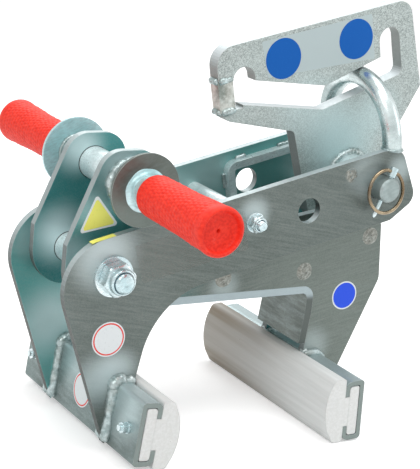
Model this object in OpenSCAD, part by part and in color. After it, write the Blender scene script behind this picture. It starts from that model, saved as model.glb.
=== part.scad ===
// Lifting tongs: an inner frame with the handle and the right jaw, and an outer arm with the
// left jaw and the hook plate. The two turn on one M20 bolt. Every outline is drawn in X and Z
// from that bolt's axis, and the whole model is then stood on its jaws.

/* [Stance] */
// Height of the main pivot above the ground
pivot_height = 177; // [174:0.5:180]
// Upward tilt of the outer arm's beam, jaws fully open
beam_tilt = 13.5; // [12.5:0.1:14.5]
// Lean of the left jaw, its top towards the load
left_lean = 5.3; // [3:0.1:7]
// Lean of the right jaw, its top towards the load
right_lean = 2.8; // [1:0.1:5]

/* [Outer arm] */
// Thickness of the steel side plates
plate_t = 8; // [6:0.5:8.5]
// Clear width between the two outer plates
outer_clear = 110; // [108:0.5:114]
// Depth of the beam, the pivot on its centre line
beam_depth = 75.5; // [74:0.5:77]
// Radius of the round shoulder over the pivot
shoulder_r = 50; // [44:1:52]
// Radius of the arch between the leg and the beam
arch_r = 85; // [60:1:90]
// Distance along the beam from the pivot to the hitch pin
pin_reach = 308.4; // [306:0.2:310]
// Distance along the beam from the pivot to the spare pin hole
spare_reach = 221.3; // [219:0.1:224]
// Distance along the beam from the pivot to the tie bolt
tie_reach = 157.8; // [150:0.1:162]
// Height of the tie bolt over the beam's centre line
tie_rise = 7.5; // [6:0.1:9]

/* [Inner frame] */
// Outside width over the two inner plates
inner_wide = 79; // [76:0.5:82]
// Radius of the eye round the pivot
eye_r = 38; // [34:0.5:40]
// Height of the web's underside below the pivot
web_drop = 44; // [43:0.5:47]
// Thickness of the bent web between the inner plates
web_t = 8; // [5:0.5:8]
// Inner face of the right leg, from the pivot
leg_x = 251; // [248:0.5:253]

/* [Jaws] */
// Length of the jaw rails and their inserts
jaw_len = 240; // [220:1:280]
// Height of the C rail
rail_h = 64; // [62:0.5:66]
// Depth of the C rail, back to lips
rail_d = 22.3; // [21:0.1:24]
// Wall of the C rail
rail_wall = 5; // [4:0.1:5.5]
// Clear height between the two lips of a rail
lip_gap = 32; // [28:0.5:36]
// How far an insert stands out of its rail at its crown
insert_out = 23.2; // [21:0.1:25]
// Distance of the left rail's back from the pivot, at half height
left_rail_x = 10.2; // [9:0.1:11.5]
// Distance of the right rail's back from the pivot, at half height
right_rail_x = 270.2; // [269:0.1:271.5]
// Distance from the mid-plane to each rail screw
rail_screw_y = 100; // [85:1:105]

/* [Hook plate] */
// Thickness of the hook plate
hook_t = 15; // [12:0.5:18]
// Radius of the two recesses that the crane hook takes
recess_r = 12.7; // [11.5:0.1:13]
// Outside diameter of the bush welded through the plate
bush_d = 42; // [38:0.5:44]

/* [Pins and bolts] */
// Diameter of the hitch pin
pin_d = 25; // [20:0.5:25]
// Diameter of the two hitch pin holes
pin_hole_d = 26; // [25.7:0.1:27]
// Diameter of the pivot bolt
pivot_d = 20; // [18:0.5:22]
// Width across flats of the pivot bolt and nut
pivot_flats = 30; // [27:1:34]
// Diameter of the tie bolt
tie_d = 10; // [8:0.5:11]
// Width across flats of the tie bolt and nut
tie_flats = 16; // [15:1:19]
// Outside diameter of the tie bolt's spacer tube
tie_tube_d = 18; // [16:0.5:19]
// Diameter of the round bar that the guide bow is bent from
bow_bar_d = 20; // [16:0.5:21]
// Half width of the guide bow, to the bar's centre
bow_half = 56; // [54:0.5:60]
// Lean of the guide bow back over the beam
bow_lean = 9.5; // [7:0.1:12]
// Diameter of the lynch pin's rod
lynch_d = 4.6; // [4:0.1:6]
// Radius of the lynch ring, to the wire's centre
ring_r = 22; // [20:0.5:24]
// Diameter of the lynch ring's wire
ring_wire = 3.6; // [2.5:0.1:4]

/* [Handle] */
// Length of the handle over both grips
handle_len = 420; // [400:2:440]
// Diameter of the handle tube
tube_d = 32; // [28:0.5:34]
// Distance of the handle's axis from the pivot, along the beam's direction of travel
handle_x = 20; // [17:0.5:23]
// Height of the handle's axis above the pivot
handle_z = 84.5; // [82:0.5:88]
// Diameter of the hand guard discs
guard_d = 71; // [64:1:76]
// Distance over the outer faces of the two discs
guard_wide = 148; // [145:1:154]
// Diameter of a rubber grip
grip_d = 40; // [38:0.5:43]
// Diameter of a grip's flared end
flare_d = 46; // [43:0.5:48]

/* [Hidden] */

// Gap left at a welded root, and between parts that pass each other
seam = 0.3;
// Radial play of the pivot bolt in the tube that turns on it
run_fit = 0.05;
// Radial play of bolts in plain drilled holes
bolt_play = 0.5;
// Room behind and above an insert's tongue in its rail
tongue_play = 0.8;
outer_y = outer_clear / 2 + plate_t;
inner_y = inner_wide / 2;
half_beam = beam_depth / 2;
web_top = -web_drop + web_t;
pin_up = 2;
spare_up = 0.9;
washer_t = 3;
washer_d = pivot_flats + 10;
bolt_head_h = 12.5;
nut_h = 14;
bolt_stand = 4;
collar_h = 6;
tie_washer_t = 2;
tie_head_h = 6.4;
tie_nut_h = 8;
tie_collar_h = 2.5;
guard_t = 3;
grip_gap = 16;
strap_t = 8;
strap_deep = 10;
strap_x = 199;
strap_z = 24;
strap_end_x = 286;
strap_end_z = -14;
strap_plug_x = 274.7;
plug_d = 14;
bow_x = 331;
bow_rise = 10;
flat_x = 317.6;
nose_x = 340;
hook_top = 168.8;
hook_left = 164.5;
hook_right = 407;
hook_corner_z = 74;
recess_top = 144.7;
recess_left_x = 193.6;
recess_right_x = 371;
recess_foot = 116;
bar_low = 104;
bar_high = 136;
cross_points = [[138.3, -26.3 + 6], [235.5, -23.9 + 4], [314.3, 13.5]];
cross_d = 16;
web_start = 34;
web_bend_r = 14;
web_lean = 3.3;
web_foot_z = -99;
leg_bend_z = -66;
pin_head_t = 8;
pin_head_d = pin_d + 11;
pin_stand = 18.5;
lynch_y = -(outer_y + 9.5);
lynch_lean = 21;
lynch_head_d = 8;
ring_lean = 6.5;
screw_d = 6;
screw_hole_d = screw_d + 1;
screw_flats = 10;
crown_r = 63.5;
nose_r = 6;
crown = rail_d + insert_out;
worn_flat = 0.5;

// Geometry helpers

function unit(v) = v / norm(v);

function arc_steps(r) = r > 30 ? 18 : r > 9 ? 10 : 6;

function flat(p) = [p[0], p[1]];

function half_angle(before, corner, after) =
    acos(max(-1, min(1, unit(flat(before - corner)) * unit(flat(after - corner))))) / 2;

function round_centre(before, corner, after, r) =
    let (u = unit(flat(before - corner)))
    let (v = unit(flat(after - corner)))
    flat(corner) + unit(u + v) * r / sin(half_angle(before, corner, after));

function fillet(before, corner, after, r) =
    let (u = unit(before - corner))
    let (v = unit(after - corner))
    let (half = half_angle(before, corner, after))
    let (centre = round_centre(before, corner, after, r))
    let (a = corner + u * r / tan(half) - centre)
    let (b = corner + v * r / tan(half) - centre)
    let (start = atan2(a[1], a[0]))
    let (sweep = (atan2(b[1], b[0]) - start + 540) % 360 - 180)
    let (n = arc_steps(r))
    [for (i = [0:n]) centre + r * [cos(start + sweep * i / n), sin(start + sweep * i / n)]];

// Corners are [x, z, radius]; a radius of 0 keeps the corner sharp
function outline(c) =
    let (n = len(c))
    let (p = [for (k = c) [k[0], k[1]]])
    [for (i = [0:n - 1])
        each (c[i][2] == 0 ? [p[i]] : fillet(p[(i + n - 1) % n], p[i], p[(i + 1) % n], c[i][2]))];

// Stands a flat X-Z outline up as a slab from y_low, thick along Y
module slab(y_low, thick) {
    translate([0, y_low + thick, 0])
        rotate([90, 0, 0])
            linear_extrude(thick)
                children();
}

// A round bar or bore along Y, centred at x, z
module rod_y(x, z, d, y_low, y_high, fn = 64) {
    translate([x, y_high, z])
        rotate([90, 0, 0])
            cylinder(h = y_high - y_low, d = d, $fn = fn);
}

module tube_y(x, z, d, bore, y_low, y_high) {
    difference() {
        rod_y(x, z, d, y_low, y_high);
        rod_y(x, z, bore, y_low - 1, y_high + 1);
    }
}

// A hexagon along Y, chamfered on its outer side
module hex_y(x, z, flats, y_low, y_high, bore) {
    corner_d = flats / cos(30);
    difference() {
        intersection() {
            rod_y(x, z, corner_d, y_low, y_high, 6);
            rod_y(x, z, corner_d - flats * 0.03, y_low, y_high);
        }
        if (bore > 0) rod_y(x, z, bore, y_low - 1, y_high + 1);
    }
}

// Turns drawings made along the level beam up to the beam's tilt
module on_beam() {
    rotate([0, -beam_tilt, 0]) children();
}

// Puts the ground at Z = 0 and the middle of the model's length at X = 0
right_most = hook_right * cos(beam_tilt) - hook_corner_z * sin(beam_tilt);
left_most = -49.2;
mid_x = (left_most + right_most) / 2;
module stood() {
    translate([-mid_x, 0, pivot_height]) children();
}

// Jaws: side 1 is the left jaw, on the outer arm, and side -1 the right, on the inner frame

function jaw_x(side) = side > 0 ? left_rail_x : right_rail_x;
function jaw_lean(side) = side > 0 ? left_lean : right_lean;

// Corners of an insert's head: the long nose is up on the right jaw and down on the left one
function insert_corners(side) = [for (c = [[rail_d, 36, 3], [crown - 9.5, 36, nose_r],
    [crown - 3, 23, 10], [crown + 2, 8, 10], [crown + 2, -4, 10], [crown - 3.5, -18, 10],
    [crown - 11.2, -33, nose_r], [rail_d, -33, 3]]) [c[0], -side * c[1], c[2]]];

// Middle of the insert's lowest rounded corner, in the rail's own out and up axes
function toe(side) = let (c = insert_corners(side))
    side > 0 ? round_centre(c[0], c[1], c[2], nose_r) : round_centre(c[7], c[6], c[5], nose_r);
function jaw_z(side) =
    -pivot_height + nose_r - worn_flat + toe(side)[0] * sin(jaw_lean(side))
    - toe(side)[1] * cos(jaw_lean(side));

module at_jaw(side) {
    translate([jaw_x(side), 0, jaw_z(side)])
        rotate([0, side * jaw_lean(side), 0])
            children();
}

// Mirrors a jaw drawing so that out points at the load on either side
module facing(side) {
    if (side > 0) children();
    else mirror([1, 0, 0]) children();
}

module rail_profile() {
    top = rail_h / 2;
    in = top - rail_wall;
    lip_in = rail_d - rail_wall;
    gap = lip_gap / 2;
    polygon(outline([[0, -top, 4], [0, top, 4], [rail_d, top, 8], [rail_d, gap, 1],
        [lip_in, gap, 1], [lip_in, in, 3], [rail_wall, in, 1.5], [rail_wall, -in, 1.5],
        [lip_in, -in, 3], [lip_in, -gap, 1], [rail_d, -gap, 1], [rail_d, -top, 8]]));
}

// The insert's tongue fills the rail, its neck passes the lips and its head bears on the load
module insert_profile(side) {
    tongue_up = rail_h / 2 - rail_wall - tongue_play;
    neck_up = lip_gap / 2 - seam;
    back = rail_wall + tongue_play;
    lip_in = rail_d - rail_wall - seam;
    union() {
        polygon(outline([[back, -tongue_up, 2], [back, tongue_up, 2], [lip_in, tongue_up, 3.2],
            [lip_in, -tongue_up, 3.2]]));
        translate([lip_in - 1, -neck_up]) square([rail_d - lip_in + 2, 2 * neck_up]);
        intersection() {
            translate([crown - crown_r, -3 * side]) circle(crown_r, $fn = 160);
            polygon(outline(insert_corners(side)));
        }
    }
}

module jaw_rail(side) {
    stood() at_jaw(side) facing(side)
        difference() {
            slab(-jaw_len / 2, jaw_len) rail_profile();
            for (y = [-rail_screw_y, rail_screw_y])
                translate([-1, y, 0])
                    rotate([0, 90, 0])
                        cylinder(h = rail_wall + 2, d = screw_hole_d, $fn = 32);
        }
}

module jaw_insert(side) {
    stood() intersection() {
        at_jaw(side) facing(side)
            difference() {
                slab(-jaw_len / 2, jaw_len) insert_profile(side);
                for (y = [-rail_screw_y, rail_screw_y])
                    translate([0, y, 0])
                        rotate([0, 90, 0])
                            cylinder(h = rail_wall + 9, d = screw_d, $fn = 32);
            }
        translate([-200, -jaw_len, -pivot_height]) cube([800, 2 * jaw_len, 200]);
    }
}

module jaw_screws(side) {
    stood() at_jaw(side) facing(side)
        for (y = [-rail_screw_y, rail_screw_y])
            translate([0, y, 0])
                rotate([0, 90, 0]) {
                    translate([0, 0, -10.5]) cylinder(h = rail_wall + 19.5, d = screw_d, $fn = 32);
                    translate([0, 0, -1.6]) cylinder(h = 1.6, d = 12, $fn = 48);
                    translate([0, 0, -7.6])
                        intersection() {
                            cylinder(h = 6, d = screw_flats / cos(30), $fn = 6);
                            cylinder(h = 6, d = screw_flats * 1.12, $fn = 48);
                        }
                }
}

// Room that a rail takes out of the leg welded to its back and top
module rail_room(side, y_low, thick) {
    at_jaw(side) facing(side)
        translate([0, y_low - 1, -200])
            cube([160, thick + 2, 200 + rail_h / 2]);
}

// Inner frame

inner_top = tie_reach * sin(beam_tilt) + tie_rise * cos(beam_tilt) - tie_tube_d / 2 - seam;

module inner_outline() {
    polygon(outline([[0.6 - 1.03 * eye_r, 24, 4], [handle_x - 23.5, handle_z + 29.5, 24],
        [handle_x + 43, handle_z + 29.5, 25], [40, inner_top, 24], [188, inner_top, 12],
        [254, inner_top + 10.5, 12], [296, inner_top + 10.5, 10], [326.5, 28, 8],
        [333.5, -34, 18], [274.5, -174.5, 1], [262, -174.5, 1], [leg_x - 4.5, -112, 1],
        [leg_x, leg_bend_z, 12], [leg_x, web_top, web_bend_r], [12, web_top, 0],
        [1, -eye_r, 0], [-eye_r, -eye_r, eye_r]]));
}

module inner_plate(y_low) {
    stood() difference() {
        slab(y_low, plate_t) inner_outline();
        rod_y(0, 0, pivot_d + 2 * bolt_play, y_low - 1, y_low + plate_t + 1);
        rod_y(handle_x, handle_z, tube_d, y_low - 1, y_low + plate_t + 1);
        for (p = cross_points) rod_y(p[0], p[1], cross_d, y_low - 1, y_low + plate_t + 1);
        rail_room(-1, y_low, plate_t);
    }
}

module inner_plate_front() color([0.47, 0.5, 0.46]) inner_plate(-inner_y);
module inner_plate_rear() color([0.47, 0.5, 0.46]) inner_plate(inner_y - plate_t);

module inner_web() color([0.62, 0.67, 0.68]) stood() difference() {
    slab(-inner_y, inner_wide)
        polygon(outline([[web_start, web_top, 0], [leg_x, web_top, web_bend_r],
            [leg_x, leg_bend_z, 0], [leg_x - web_lean, web_foot_z, 0],
            [leg_x - web_lean - web_t, web_foot_z, 0], [leg_x - web_t, leg_bend_z, 0],
            [leg_x - web_t, -web_drop, web_bend_r - web_t], [web_start, -web_drop, 0]]));
    rail_room(-1, -inner_y, inner_wide);
}

module cross_bars() color([0.6, 0.62, 0.6]) stood()
    for (p = cross_points) rod_y(p[0], p[1], cross_d, -inner_y + 0.4, inner_y - 0.4);

module pivot_tube() color([0.72, 0.76, 0.77]) stood()
    tube_y(0, 0, pivot_d + 10, pivot_d + 2 * run_fit, -inner_y + plate_t,
        inner_y - plate_t);

module right_jaw_rail() color([0.5, 0.54, 0.52]) jaw_rail(-1);
module right_jaw_insert() color([0.86, 0.87, 0.86]) jaw_insert(-1);
module right_jaw_screws() color([0.75, 0.78, 0.8]) jaw_screws(-1);

// Handle

guard_y = guard_wide / 2;
grip_y = guard_y + grip_gap;

module handle_tube() color([0.72, 0.76, 0.77]) stood()
    tube_y(handle_x, handle_z, tube_d, tube_d - 6, -handle_len / 2 + 14, handle_len / 2 - 14);

module hand_guard(side) {
    stood() mirror([0, side > 0 ? 0 : 1, 0])
        tube_y(handle_x, handle_z, guard_d, tube_d, guard_y - guard_t, guard_y);
}

// The grip closes over the tube's end, with a recessed end face and a small vent hole
module grip(side) {
    end_y = handle_len / 2;
    long = end_y - grip_y;
    r = grip_d / 2;
    flare_r = flare_d / 2;
    bore_r = tube_d / 2;
    stood() mirror([0, side > 0 ? 0 : 1, 0])
        translate([handle_x, grip_y, handle_z])
            rotate([-90, 0, 0])
                rotate_extrude($fn = 72)
                    polygon([[bore_r, 0], [r - 2.5, 0], [r - 0.7, 0.9], [r, 3],
                        [r + 0.3, long * 0.45], [r + 1.9, long - 14], [flare_r, long - 6],
                        [flare_r, long - 3.5], [flare_r - 1.2, long - 0.8], [flare_r - 3, long],
                        [flare_r - 4.5, long - 1.5], [flare_r - 5.5, long - 5], [1.8, long - 5],
                        [1.8, long - 13.5], [bore_r, long - 13.5]]);
}

module hand_guard_front() color([0.62, 0.68, 0.68]) hand_guard(-1);
module hand_guard_rear() color([0.62, 0.68, 0.68]) hand_guard(1);
module grip_front() color([0.95, 0.22, 0.15]) grip(-1);
module grip_rear() color([0.95, 0.22, 0.15]) grip(1);

// Outer arm

module outer_outline() {
    polygon(outline([[-59, half_beam, shoulder_r], [flat_x, half_beam, 4],
        [nose_x, half_beam - (nose_x - flat_x) * tan(beam_tilt), 14], [352, -23.1, 14],
        [318.5, -half_beam, 10],
        [42, -half_beam, arch_r], [-8.5, -150, 0], [-30, -170, 0], [-34, -166.5, 0]]));
}

module outer_plate(y_low) {
    y_high = y_low + plate_t;
    stood() difference() {
        on_beam() difference() {
            slab(y_low, plate_t) outer_outline();
            rod_y(0, 0, pivot_d + 2 * bolt_play, y_low - 1, y_high + 1);
            rod_y(pin_reach, pin_up, pin_hole_d, y_low - 1, y_high + 1);
            rod_y(spare_reach, spare_up, pin_hole_d, y_low - 1, y_high + 1);
            rod_y(tie_reach, tie_rise, tie_d + bolt_play, y_low - 1, y_high + 1);
            rod_y(strap_plug_x, strap_z, plug_d, y_low - 1, y_high + 1);
        }
        rail_room(1, y_low, plate_t);
    }
}

module outer_plate_front() color([0.42, 0.45, 0.42]) outer_plate(-outer_y);
module outer_plate_rear() color([0.42, 0.45, 0.42]) outer_plate(outer_y - plate_t);

module pivot_bolt() color([0.78, 0.82, 0.84]) stood() on_beam() {
    rod_y(0, 0, pivot_d, -outer_y - washer_t - nut_h - collar_h - bolt_stand, outer_y + washer_t + 1);
    hex_y(0, 0, pivot_flats, outer_y + washer_t, outer_y + washer_t + bolt_head_h, 0);
}

module pivot_nut() color([0.78, 0.82, 0.84]) stood() on_beam() {
    low = -outer_y - washer_t - nut_h;
    hex_y(0, 0, pivot_flats, low, -outer_y - washer_t, pivot_d);
}

// Turned-in neck of the nut that holds the locking ring
module pivot_nut_collar() color([0.7, 0.75, 0.8]) stood() on_beam() {
    low = -outer_y - washer_t - nut_h;
    tube_y(0, 0, pivot_flats * 0.82, pivot_d, low - collar_h, low);
}

module pivot_washers() color([0.75, 0.78, 0.8]) stood() on_beam() {
    tube_y(0, 0, washer_d, pivot_d + 1, -outer_y - washer_t, -outer_y);
    tube_y(0, 0, washer_d, pivot_d + 1, outer_y, outer_y + washer_t);
}

// Rings that keep the outer plates off the inner ones
module pivot_spacers() color([0.72, 0.76, 0.77]) stood() on_beam()
    for (s = [-1, 1]) {
        near = inner_y + seam;
        far = outer_clear / 2;
        tube_y(0, 0, pivot_d + 20, pivot_d + 1, s > 0 ? near : -far, s > 0 ? far : -near);
    }

module tie_bolt() color([0.78, 0.82, 0.84]) stood() on_beam() {
    end = outer_y + tie_washer_t;
    rod_y(tie_reach, tie_rise, tie_d, -end - tie_nut_h - tie_collar_h - 4, end + 1, 48);
    hex_y(tie_reach, tie_rise, tie_flats, end, end + tie_head_h, 0);
}

module tie_nut() color([0.78, 0.82, 0.84]) stood() on_beam() {
    end = -outer_y - tie_washer_t;
    hex_y(tie_reach, tie_rise, tie_flats, end - tie_nut_h, end, tie_d);
}

module tie_nut_collar() color([0.7, 0.75, 0.8]) stood() on_beam() {
    end = -outer_y - tie_washer_t - tie_nut_h;
    tube_y(tie_reach, tie_rise, tie_flats * 0.82, tie_d, end - tie_collar_h, end);
}

module tie_washers() color([0.75, 0.78, 0.8]) stood() on_beam() {
    d = tie_flats + 4;
    tube_y(tie_reach, tie_rise, d, tie_d + 0.5, -outer_y - tie_washer_t, -outer_y);
    tube_y(tie_reach, tie_rise, d, tie_d + 0.5, outer_y, outer_y + tie_washer_t);
}

module tie_tube() color([0.72, 0.76, 0.77]) stood() on_beam()
    tube_y(tie_reach, tie_rise, tie_tube_d, tie_d + 1, -outer_clear / 2,
        outer_clear / 2);

// Bent flat bars on the outer plates' inner faces, over and beside the spare hole
module strap(y_low) {
    h = strap_t / 2;
    stood() on_beam() slab(y_low, strap_deep)
        polygon(outline([[strap_x - h, strap_z + h, 11], [strap_end_x, strap_z + h, 3],
            [strap_end_x, strap_z - h, 3], [strap_x + h, strap_z - h, 3],
            [strap_x + h, strap_end_z, 0], [strap_x - h, strap_end_z, 0]]));
}

module strap_front() color([0.6, 0.66, 0.67]) strap(-outer_clear / 2);
module strap_rear() color([0.6, 0.66, 0.67]) strap(outer_clear / 2 - strap_deep);

module strap_plugs() color([0.5, 0.53, 0.5]) stood() on_beam()
    for (s = [-1, 1]) {
        near = outer_clear / 2;
        far = outer_y + 0.4;
        rod_y(strap_plug_x, strap_z, plug_d, s > 0 ? near : -far, s > 0 ? far : -near);
    }

// Hook plate

module hook_outline() {
    polygon(outline([[hook_left, hook_top, 20], [hook_right - 6.5, hook_top, 16],
        [hook_right, hook_corner_z, 4], [376, 38, 20], [345, -8, 20], [336, -37, 14], [256, -37, 14],
        [246, 64, 6], [hook_left - 0.5, 97, 16]]));
}

// The opening bends down in its middle, with a round recess up at each end
module hook_opening() {
    union() {
        polygon(outline([[recess_left_x - recess_r, 109.5, 3], [282.5, 78.2, 8],
            [recess_right_x + recess_r + 0.8, 92.5, 9], [recess_right_x + recess_r, 118, 0],
            [recess_right_x - recess_r, 116, 3], [288, 102.5, 8],
            [recess_left_x + recess_r, 128, 5], [recess_left_x - recess_r, 132, 0]]));
        for (x = [recess_left_x, recess_right_x]) {
            translate([x, recess_top - recess_r]) circle(recess_r, $fn = 64);
            translate([x - recess_r, recess_foot])
                square([2 * recess_r, recess_top - recess_r - recess_foot]);
        }
    }
}

module hook_plate() color([0.62, 0.66, 0.64]) stood() on_beam() difference() {
    slab(-hook_t / 2, hook_t)
        difference() {
            hook_outline();
            hook_opening();
            translate([hook_left - 20, bar_low]) square([45, bar_high - bar_low]);
        }
    rod_y(pin_reach, pin_up, bush_d, -hook_t, hook_t);
}

// The piece welded in at the left end closes the opening over the bow
module hook_end_bar() color([0.5, 0.47, 0.43]) stood() on_beam()
    slab(-hook_t / 2 + 0.5, hook_t - 1)
        translate([hook_left - 1, bar_low])
            square([recess_left_x - recess_r - hook_left + 1, bar_high - bar_low]);

module hook_bush() color([0.7, 0.72, 0.7]) stood() on_beam()
    tube_y(pin_reach, pin_up, bush_d, pin_d + 2 * run_fit, -outer_clear / 2, outer_clear / 2);

// Guide bow: a round bar bent to a half circle, its feet on the outer plates' level corners
module guide_bow() color([0.75, 0.79, 0.8]) stood() on_beam()
    translate([bow_x, 0, half_beam - (bow_x - flat_x) * tan(beam_tilt)])
        rotate([0, beam_tilt - bow_lean, 0]) {
            translate([0, 0, bow_rise])
                rotate([90, 0, 90])
                    rotate_extrude(angle = 180, $fn = 96)
                        translate([bow_half, 0]) circle(d = bow_bar_d, $fn = 40);
            difference() {
                for (s = [-1, 1])
                    translate([0, s * bow_half, -bow_rise])
                        cylinder(h = 2 * bow_rise, d = bow_bar_d, $fn = 40);
                rotate([0, bow_lean, 0])
                    translate([-40, -100, -60]) cube([80, 200, 60]);
            }
        }

module left_jaw_rail() color([0.5, 0.54, 0.52]) jaw_rail(1);
module left_jaw_insert() color([0.86, 0.87, 0.86]) jaw_insert(1);
module left_jaw_screws() color([0.75, 0.78, 0.8]) jaw_screws(1);

// Hitch pin with its lynch pin

// Local axes of the lynch pin: its rod runs down from a head on the hitch pin's axis line
module at_lynch() {
    translate([pin_reach, lynch_y, pin_up])
        rotate([0, lynch_lean + beam_tilt, 0])
            children();
}

module hitch_pin() color([0.7, 0.74, 0.76]) stood() on_beam() difference() {
    end = pin_head_t + seam + 2 * outer_y + pin_stand;
    translate([pin_reach, outer_y + seam + pin_head_t, pin_up])
        rotate([90, 0, 0])
            rotate_extrude($fn = 72)
                polygon([[0, 0], [pin_head_d / 2 - 1, 0], [pin_head_d / 2, 1],
                    [pin_head_d / 2, pin_head_t], [pin_d / 2, pin_head_t],
                    [pin_d / 2, end - 2], [pin_d / 2 - 2, end], [0, end]]);
    at_lynch() translate([0, 0, -30]) cylinder(h = 60, d = lynch_d, $fn = 40);
}

lynch_head_z = ring_r - 3.5;
lynch_foot = ring_r + 9;

module lynch_pin() color([0.78, 0.8, 0.8]) stood() on_beam() at_lynch() difference() {
    union() {
        translate([0, 0, 2.5 - lynch_foot])
            cylinder(h = lynch_foot - 2.5 + lynch_head_z, d = lynch_d, $fn = 40);
        translate([0, 0, -lynch_foot])
            cylinder(h = 2.5, d1 = lynch_d - 2.5, d2 = lynch_d, $fn = 40);
        translate([0, 0, lynch_head_z - 5]) cylinder(h = 10, d = lynch_head_d, $fn = 40);
    }
    translate([-20, 0, lynch_head_z]) rotate([0, 90, 0])
        cylinder(h = 40, d = ring_wire + 2 * run_fit, $fn = 32);
}

// The ring's two straight ends turn in the head's cross hole, and it leans out over the foot
module lynch_ring() color([0.6, 0.5, 0.38]) stood() on_beam() at_lynch()
    translate([0, 0, lynch_head_z]) rotate([-ring_lean, 0, 0]) {
    stub = 7.5;
    gap_angle = asin(stub / ring_r);
    drop = ring_r * cos(gap_angle);
    translate([0, 0, -drop])
        rotate([90, 0, 0])
            rotate([0, 0, 90 + gap_angle])
                rotate_extrude(angle = 360 - 2 * gap_angle, $fn = 96)
                    translate([ring_r, 0]) circle(d = ring_wire, $fn = 24);
    for (s = [0, 1]) mirror([s, 0, 0])
        translate([1.2, 0, 0])
            rotate([0, 90, 0]) cylinder(h = stub - 0.6, d = ring_wire, $fn = 32);
}

inner_plate_front();
inner_plate_rear();
inner_web();
cross_bars();
pivot_tube();
right_jaw_rail();
right_jaw_insert();
right_jaw_screws();
handle_tube();
hand_guard_front();
hand_guard_rear();
grip_front();
grip_rear();
outer_plate_front();
outer_plate_rear();
pivot_bolt();
pivot_nut();
pivot_nut_collar();
pivot_washers();
pivot_spacers();
tie_bolt();
tie_nut();
tie_nut_collar();
tie_washers();
tie_tube();
strap_front();
strap_rear();
strap_plugs();
hook_plate();
hook_end_bar();
hook_bush();
guide_bow();
left_jaw_rail();
left_jaw_insert();
left_jaw_screws();
hitch_pin();
lynch_pin();
lynch_ring();
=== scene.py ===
# %% [markdown]
# # Lifting tongs in zinc-plated steel
# These tongs lift kerbstones and blocks. Two long jaws hang from a scissor of thick plates, two
# red grips guide it, and a plate with two recesses hangs on the crane's hook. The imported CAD
# model is the fixed frame here. This script gives it finishes, weld beads, threads and stickers.

import math

import bmesh
import bpy
from mathutils import Matrix, Vector, noise


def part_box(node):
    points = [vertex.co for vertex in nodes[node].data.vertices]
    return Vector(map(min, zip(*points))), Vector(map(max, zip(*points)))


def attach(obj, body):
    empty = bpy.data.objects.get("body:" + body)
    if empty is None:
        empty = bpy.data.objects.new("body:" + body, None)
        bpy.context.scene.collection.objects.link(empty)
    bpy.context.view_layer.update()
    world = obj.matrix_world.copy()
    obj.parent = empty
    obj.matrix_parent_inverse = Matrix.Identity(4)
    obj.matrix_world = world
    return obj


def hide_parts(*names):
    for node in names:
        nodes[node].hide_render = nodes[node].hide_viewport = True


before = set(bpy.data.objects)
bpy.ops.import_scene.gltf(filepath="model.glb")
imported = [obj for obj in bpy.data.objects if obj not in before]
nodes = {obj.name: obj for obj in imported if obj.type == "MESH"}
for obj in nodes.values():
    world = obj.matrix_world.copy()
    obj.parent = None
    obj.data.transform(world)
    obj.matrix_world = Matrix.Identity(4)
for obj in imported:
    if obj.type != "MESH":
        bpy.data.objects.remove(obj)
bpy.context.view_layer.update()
print("frame loaded:", len(nodes), "nodes")

# %% [markdown]
# Every size below is in millimetres, measured from the main pivot, because that is how the
# outlines of the plates were drawn. Two small functions turn such a point into Blender's metres:
# one for points in level axes, one for points along the outer arm's tilted beam.

# %% Axes of the object
MM = 0.001
BEAM_TILT = math.radians(13.5)


def centre_of(node):
    low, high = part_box(node)
    return (low + high) / 2


PIVOT = centre_of("pivot_tube")
OUTER_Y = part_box("outer_plate_rear")[1].y / MM
INNER_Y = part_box("inner_plate_rear")[1].y / MM
PLATE = (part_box("inner_plate_rear")[1].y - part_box("inner_plate_rear")[0].y) / MM


def level(x, y, z):
    return Vector((PIVOT.x + x * MM, y * MM, PIVOT.z + z * MM))


def beam(x, y, z):
    along = x * math.cos(BEAM_TILT) - z * math.sin(BEAM_TILT)
    up = x * math.sin(BEAM_TILT) + z * math.cos(BEAM_TILT)
    return level(along, y, up)


print("pivot at", [round(v, 4) for v in PIVOT], "outer faces at", round(OUTER_Y, 1), "mm")

# %% [markdown]
# The jaw rails lean a few degrees. The middle of a rail is the middle of its box, so a point on
# a rail can be given in the rail's own axes: out of its back, and up along it.

# %% Axes of a jaw rail
RAIL_DEPTH = 22.3
RAIL_HALF = 32
RAIL_LEAN = {"left": math.radians(5.3), "right": math.radians(2.8)}
RAIL_MIDDLE = {side: centre_of(side + "_jaw_rail") for side in RAIL_LEAN}


def on_rail(side, out, y, up):
    lean = RAIL_LEAN[side]
    sign = 1 if side == "left" else -1
    u = out - RAIL_DEPTH / 2
    x = sign * (u * math.cos(lean) + up * math.sin(lean))
    z = -u * math.sin(lean) + up * math.cos(lean)
    return RAIL_MIDDLE[side] + Vector((x * MM, y * MM, z * MM))


print("left rail's top back corner:", [round(v, 3) for v in on_rail("left", 0, 0, RAIL_HALF)])

# %% [markdown]
# ## Camera
# The camera stands in front and to the left, a little above, and is turned slightly about its
# own view line, as a hand-held camera is. Its place and focal length were worked out from known
# straight edges of the tongs.

# %% Camera
CAMERA_AT = level(-693.6, -1302.2, 453.1)
CAMERA_AZIMUTH = math.radians(32.69)
CAMERA_DOWN = math.radians(15.87)
CAMERA_ROLL = math.radians(6.25)
FOCAL_PIXELS = 1596.8
LONG_SIDE_PIXELS = 469
SENSOR = 36.0

ahead = Vector((math.sin(CAMERA_AZIMUTH) * math.cos(CAMERA_DOWN),
                math.cos(CAMERA_AZIMUTH) * math.cos(CAMERA_DOWN),
                -math.sin(CAMERA_DOWN)))
right = Vector((math.cos(CAMERA_AZIMUTH), -math.sin(CAMERA_AZIMUTH), 0))
up = right.cross(ahead)
rolled_right = math.cos(CAMERA_ROLL) * right + math.sin(CAMERA_ROLL) * up
rolled_up = -math.sin(CAMERA_ROLL) * right + math.cos(CAMERA_ROLL) * up

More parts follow.
